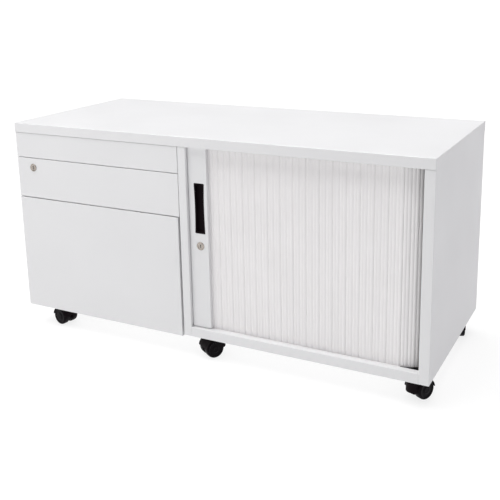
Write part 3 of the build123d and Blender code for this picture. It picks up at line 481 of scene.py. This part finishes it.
def add_lofted(bm, rings):
    """Joins rings of points that all have the same number of points, and closes the two ends."""
    made = [[bm.verts.new(point) for point in ring] for ring in rings]
    count = len(rings[0])
    for first, second in zip(made, made[1:]):
        for step in range(count):
            after = (step + 1) % count
            bm.faces.new((first[step], first[after], second[after], second[step]))
    bm.faces.new(list(reversed(made[0])))
    bm.faces.new(made[-1])


def finished_mesh(bm, name):
    """The bmesh as a mesh, with its normals outward."""
    bmesh.ops.recalc_face_normals(bm, faces=bm.faces)
    mesh = bpy.data.meshes.new(name)
    bm.to_mesh(mesh)
    bm.free()
    return mesh


def facing_front(x, y, z):
    """A place whose Z axis points to the front, -Y, and whose X stays X and Y points up."""
    return Matrix.Translation((x, y, z)) @ Matrix.Rotation(math.radians(90.0), 4, "X")


# ---------------------------------------------------------------- handle

HANDLE_WAIST = 1.5 * MM          # how far each long side curves in at its middle
HANDLE_RIM = 3.0 * MM
HANDLE_CORNER = 2.6 * MM
HANDLE_CORNER_STEPS = 5
HANDLE_SIDE_STEPS = 12
CUP_CORNER = 1.4 * MM
CUP_INSET = 1.2 * MM             # the cup's walls, in from the rim's inner edge
SCOOP_SLOPE = 5.5 * MM           # how far the cup's right wall leans in


def waisted_outline(x0, x1, z0, z1, corner, y):
    """A closed ring of points: long sides curved in at the middle, corners rounded."""
    def side_x(edge_highlight_and_gloss, inward, z):
        share = (z - z0) / (z1 - z0)
        return edge_highlight_and_gloss + inward * HANDLE_WAIST * 4.0 * share * (1.0 - share)

    points = []
    corners = (
        (x1 - corner, z0 + corner, -90.0),
        (x1 - corner, z1 - corner, 0.0),
        (x0 + corner, z1 - corner, 90.0),
        (x0 + corner, z0 + corner, 180.0),
    )
    for number, (centre_x, centre_z, start) in enumerate(corners):
        for step in range(HANDLE_CORNER_STEPS + 1):
            angle = math.radians(start + 90.0 * step / HANDLE_CORNER_STEPS)
            points.append((centre_x + corner * math.cos(angle), centre_z + corner * math.sin(angle)))
        if number in (0, 2):
            first = points[-1][1]
            last = corners[number + 1][1]
            for step in range(1, HANDLE_SIDE_STEPS):
                points.append((points[-1][0], first + (last - first) * step / HANDLE_SIDE_STEPS))
    middle = (x0 + x1) / 2.0
    bent = []
    for x, z in points:
        inward = -1.0 if x > middle else 1.0
        bent.append(Vector((side_x(x, inward, z), y, z)))
    return bent


def make_handle():
    """Moulded finger cup: a rounded rim, steep walls, and a scooped right wall that the fingers pull on."""
    low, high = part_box("tambour_handle")
    bar_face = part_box("tambour_lead_bar")[0].y
    front = low.y
    proud = bar_face - front
    depth = high.y - front

    def ring(inset, y, corner, lean=0.0):
        return waisted_outline(low.x + inset, high.x - inset - lean, low.z + inset, high.z - inset, corner, y)

    inner = HANDLE_RIM + CUP_INSET
    rings = [
        # outside of the cup, from its back to the bar's face
        ring(HANDLE_RIM, high.y, CUP_CORNER),
        ring(HANDLE_RIM, bar_face, CUP_CORNER),
        # rounded rim that lies on the bar's face
        ring(0.0, bar_face, HANDLE_CORNER),
        ring(0.0, bar_face - 0.45 * proud, HANDLE_CORNER),
        ring(0.25 * MM, bar_face - 0.85 * proud, HANDLE_CORNER),
        ring(0.8 * MM, front, HANDLE_CORNER - 0.5 * MM),
        ring(HANDLE_RIM - 0.2 * MM, front, 1.6 * MM),
        ring(HANDLE_RIM + 0.5 * MM, front + 0.5 * MM, CUP_CORNER),
        # inside of the cup, down to its floor
        ring(HANDLE_RIM + 0.9 * MM, front + 1.6 * MM, 1.3 * MM, 0.4 * MM),
        ring(inner, front + 0.62 * depth, 1.2 * MM, 0.45 * SCOOP_SLOPE),
        ring(inner + 0.4 * MM, front + 0.80 * depth, 1.1 * MM, 0.85 * SCOOP_SLOPE),
        ring(inner + 1.2 * MM, front + 0.87 * depth, 1.0 * MM, SCOOP_SLOPE),
    ]
    bm = bmesh.new()
    add_lofted(bm, rings)
    piece("handle_cup", finished_mesh(bm, "handle_cup"), "tambour_door", "black_plastic", "tambour_handle")


# ---------------------------------------------------------------- locks

LOCK_SIDES = 72
RIM_THICKNESS = 1.5 * MM
BORE_RADIUS = 6.06 * MM
KEYWAY_WIDTH = 3.0 * MM
KEYWAY_HEIGHT = 9.0 * MM
KEYWAY_STEP = 0.5 * MM           # depth of the steps in the keyway's sides
KEYWAY_DEPTH = 4.5 * MM
KEYWAY_MOST_OF_PLUG = 0.8        # and never deeper than this share of the plug
PLUG_SINK = 1.0 * MM             # plug's face behind the rim's
PLUG_PLATE = 1.6 * MM            # the part of the plug that the keyway's outline is cut through
PLUG_CHAMFER = 0.15 * MM
PLUG_BODY_INSET = 0.1 * MM
ARM_THICKNESS = 2.0 * MM
ARM_HALF_WIDTH = 3.0 * MM
ARM_CHAMFER = 0.25 * MM
ARM_END_STEPS = 12
ARM_HOLE_RADIUS = 1.4 * MM
ARM_HOLE_SIDES = 24
PLATE_BEVEL_STEPS = 2


def lock_size(barrel_node):
    """Centre, radius, front and back of a lock barrel, from its CAD node."""
    low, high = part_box(barrel_node)
    centre = (low + high) / 2.0
    return centre, (high.x - low.x) / 2.0, low.y, high.y


def make_lock_barrel(name, node, body):
    """Turned body: a chamfered rim, a dished face and a bore."""
    centre, radius, front, back = lock_size(node)
    profile = [
        # barrel behind the rim, from its back
        (radius - 2.0 * MM, front - back),
        (radius - 2.0 * MM, -RIM_THICKNESS),
        # rim
        (radius - 0.1 * MM, -RIM_THICKNESS),
        (radius, 0.15 * MM - RIM_THICKNESS),
        (radius, -0.55 * MM),
        (radius - 0.25 * MM, -0.2 * MM),
        (radius - 0.75 * MM, 0.0),
        (radius - 2.1 * MM, 0.0),
        (radius - 2.5 * MM, -0.15 * MM),
        # dished face and bore
        (BORE_RADIUS + 1.0 * MM, -0.75 * MM),
        (BORE_RADIUS + 0.35 * MM, -0.80 * MM),
        (BORE_RADIUS, -1.0 * MM),
        (BORE_RADIUS, front - back),
    ]
    bm = bmesh.new()
    add_revolved(bm, profile, facing_front(centre.x, front, centre.z), LOCK_SIDES)
    piece(name, finished_mesh(bm, name), body, "nickel", node)


def keyway_outline():
    """The keyhole's outline: a slot with one step on each side, as (x, z) from the plug's axis."""
    half = KEYWAY_WIDTH / 2.0
    tall = KEYWAY_HEIGHT / 2.0
    return [
        (-half, -tall), (half, -tall), (half, -KEYWAY_STEP),
        (half - KEYWAY_STEP, 0.2 * MM), (half - KEYWAY_STEP, tall * 0.45), (half, tall * 0.6),
        (half, tall), (-half, tall), (-half, tall * 0.2),
        (KEYWAY_STEP - half, 0.0), (KEYWAY_STEP - half, -tall * 0.4), (-half, -tall * 0.55),
    ]


def flat_plate(name, outlines, thickness, bevel):
    """A mesh of a flat plate with holes, from (x, y) outlines, lying on Z from 0 down to -thickness."""
    curve = bpy.data.curves.new(name, "CURVE")
    curve.dimensions = "2D"
    curve.fill_mode = "BOTH"
    curve.extrude = thickness / 2.0 - bevel
    curve.bevel_depth = bevel
    curve.bevel_resolution = PLATE_BEVEL_STEPS
    for outline in outlines:
        spline = curve.splines.new("POLY")
        spline.points.add(len(outline) - 1)
        for point, (x, y) in zip(spline.points, outline):
            point.co = (x, y, 0.0, 1.0)
        spline.use_cyclic_u = True
    holder = bpy.data.objects.new(name, curve)
    mesh = bpy.data.meshes.new_from_object(holder)
    bpy.data.objects.remove(holder)
    bpy.data.curves.remove(curve)
    mesh.transform(Matrix.Translation((0.0, 0.0, -thickness / 2.0)))
    return mesh


def circle_points(radius, sides):
    """A circle as (x, y) points."""
    angles = [2.0 * math.pi * step / sides for step in range(sides)]
    return [(radius * math.cos(angle), radius * math.sin(angle)) for angle in angles]


def arm_outline(length):
    """A bar with round ends that hangs from the axis, as (x, y) points."""
    points = []
    for start, drop in ((0.0, 0.0), (math.pi, length - ARM_HALF_WIDTH)):
        for step in range(ARM_END_STEPS + 1):
            angle = start + math.pi * step / ARM_END_STEPS
            points.append((ARM_HALF_WIDTH * math.cos(angle), ARM_HALF_WIDTH * math.sin(angle) - drop))
    return points


def make_lock_plug(name, node, barrel_node, body):
    """Turning plug with a stepped keyway, its body, and the arm that swings behind it."""
    centre, _, front, _ = lock_size(barrel_node)
    low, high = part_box(node)
    radius = (high.x - low.x) / 2.0
    face = front + PLUG_SINK
    back = high.y - ARM_THICKNESS
    place = facing_front(centre.x, face, centre.z)
    bm = bmesh.new()
    outlines = [circle_points(radius - PLUG_CHAMFER, LOCK_SIDES), keyway_outline()]
    plate = flat_plate(name, outlines, PLUG_PLATE, PLUG_CHAMFER)
    plate.transform(place)
    bm.from_mesh(plate)
    bpy.data.meshes.remove(plate)
    well_radius = KEYWAY_HEIGHT / 2.0 + KEYWAY_STEP
    well_depth = min(KEYWAY_DEPTH, (back - face) * KEYWAY_MOST_OF_PLUG)
    body_profile = [
        (0.0, face - back),
        (radius - PLUG_BODY_INSET, face - back),
        (radius - PLUG_BODY_INSET, -PLUG_PLATE),
        (well_radius, -PLUG_PLATE),
        (well_radius, -well_depth),
        (0.0, -well_depth),
    ]
    add_revolved(bm, body_profile, place, LOCK_SIDES)
    outlines = [arm_outline(centre.z - low.z), circle_points(ARM_HOLE_RADIUS, ARM_HOLE_SIDES)]
    arm = flat_plate(name, outlines, ARM_THICKNESS, ARM_CHAMFER)
    arm.transform(facing_front(centre.x, back, centre.z))
    bm.from_mesh(arm)
    bpy.data.meshes.remove(arm)
    piece(name, finished_mesh(bm, name), body, "nickel", node)


# ---------------------------------------------------------------- castor wheels

WHEEL_SIDES = 96
WHEEL_INNER = 6.3 * MM
WHEEL_WIDTH = 18.0 * MM
AXLE_RADIUS = 3.0 * MM
AXLE_SIDES = 32


def wheel_profile(radius):
    """Half section of a wheel, as (radius, distance from its inner face)."""
    face = WHEEL_WIDTH
    return [
        # inner face
        (0.0, 0.0),
        (radius - 5.0 * MM, 0.0),
        (radius - 4.2 * MM, 0.5 * MM),
        # crowned tread between round shoulders
        (radius - 1.4 * MM, 0.6 * MM),
        (radius - 0.4 * MM, 1.1 * MM),
        (radius - 0.05 * MM, 2.6 * MM),
        (radius, face * 0.45),
        (radius - 0.05 * MM, face - 5.2 * MM),
        (radius - 0.5 * MM, face - 3.2 * MM),
        (radius - 1.6 * MM, face - 1.4 * MM),
        (radius - 3.2 * MM, face - 0.4 * MM),
        (radius - 4.8 * MM, face),
        # dished disc and hub cap
        (radius - 5.6 * MM, face - 0.1 * MM),
        (radius - 6.3 * MM, face - 1.0 * MM),
        (radius - 8.5 * MM, face - 1.5 * MM),
        (radius - 14.5 * MM, face - 1.5 * MM),
        (radius - 15.6 * MM, face - 1.0 * MM),
        (radius - 16.2 * MM, face - 0.3 * MM),
        (radius - 17.2 * MM, face - 0.1 * MM),
        (radius - 20.0 * MM, face - 0.1 * MM),
        (radius - 20.6 * MM, face - 0.5 * MM),
        (0.0, face - 0.5 * MM),
    ]


def make_wheels(joint):
    """The two wheels and the axle of one castor, about the axis of its rolling joint."""
    body = joint["child"]
    node = frame["record"]["behaviour"]["bodies"][body][0]
    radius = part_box(node)[1].z / 2.0
    turn = Vector(joint["axis"]).to_track_quat("Z", "X").to_matrix().to_4x4()
    place = Matrix.Translation(joint["pos_m"]) @ turn
    bm = bmesh.new()
    for turn_deg in (0.0, 180.0):
        flip = Matrix.Rotation(math.radians(turn_deg), 4, "X")
        shifted = place @ flip @ Matrix.Translation((0.0, 0.0, WHEEL_INNER))
        add_revolved(bm, wheel_profile(radius), shifted, WHEEL_SIDES)
    axle = [(0.0, -WHEEL_INNER), (AXLE_RADIUS, -WHEEL_INNER), (AXLE_RADIUS, WHEEL_INNER), (0.0, WHEEL_INNER)]
    add_revolved(bm, axle, place, AXLE_SIDES)
    name = node.replace("castor_", "wheels_").replace("_wheels", "")
    piece(name, finished_mesh(bm, name), body, "castor_wheel", node)


make_handle()
make_lock_barrel("drawer_lock_rim", "drawer_lock_barrel", "box_drawer")
make_lock_barrel("door_lock_rim", "tambour_lock_barrel", "tambour_door")
make_lock_plug("drawer_lock_core", "drawer_lock_plug", "drawer_lock_barrel", "drawer_lock")
make_lock_plug("door_lock_core", "tambour_lock_plug", "tambour_lock_barrel", "tambour_lock")
for rolling in frame["joints"]:
    if rolling["name"].endswith("_roll"):
        make_wheels(rolling)
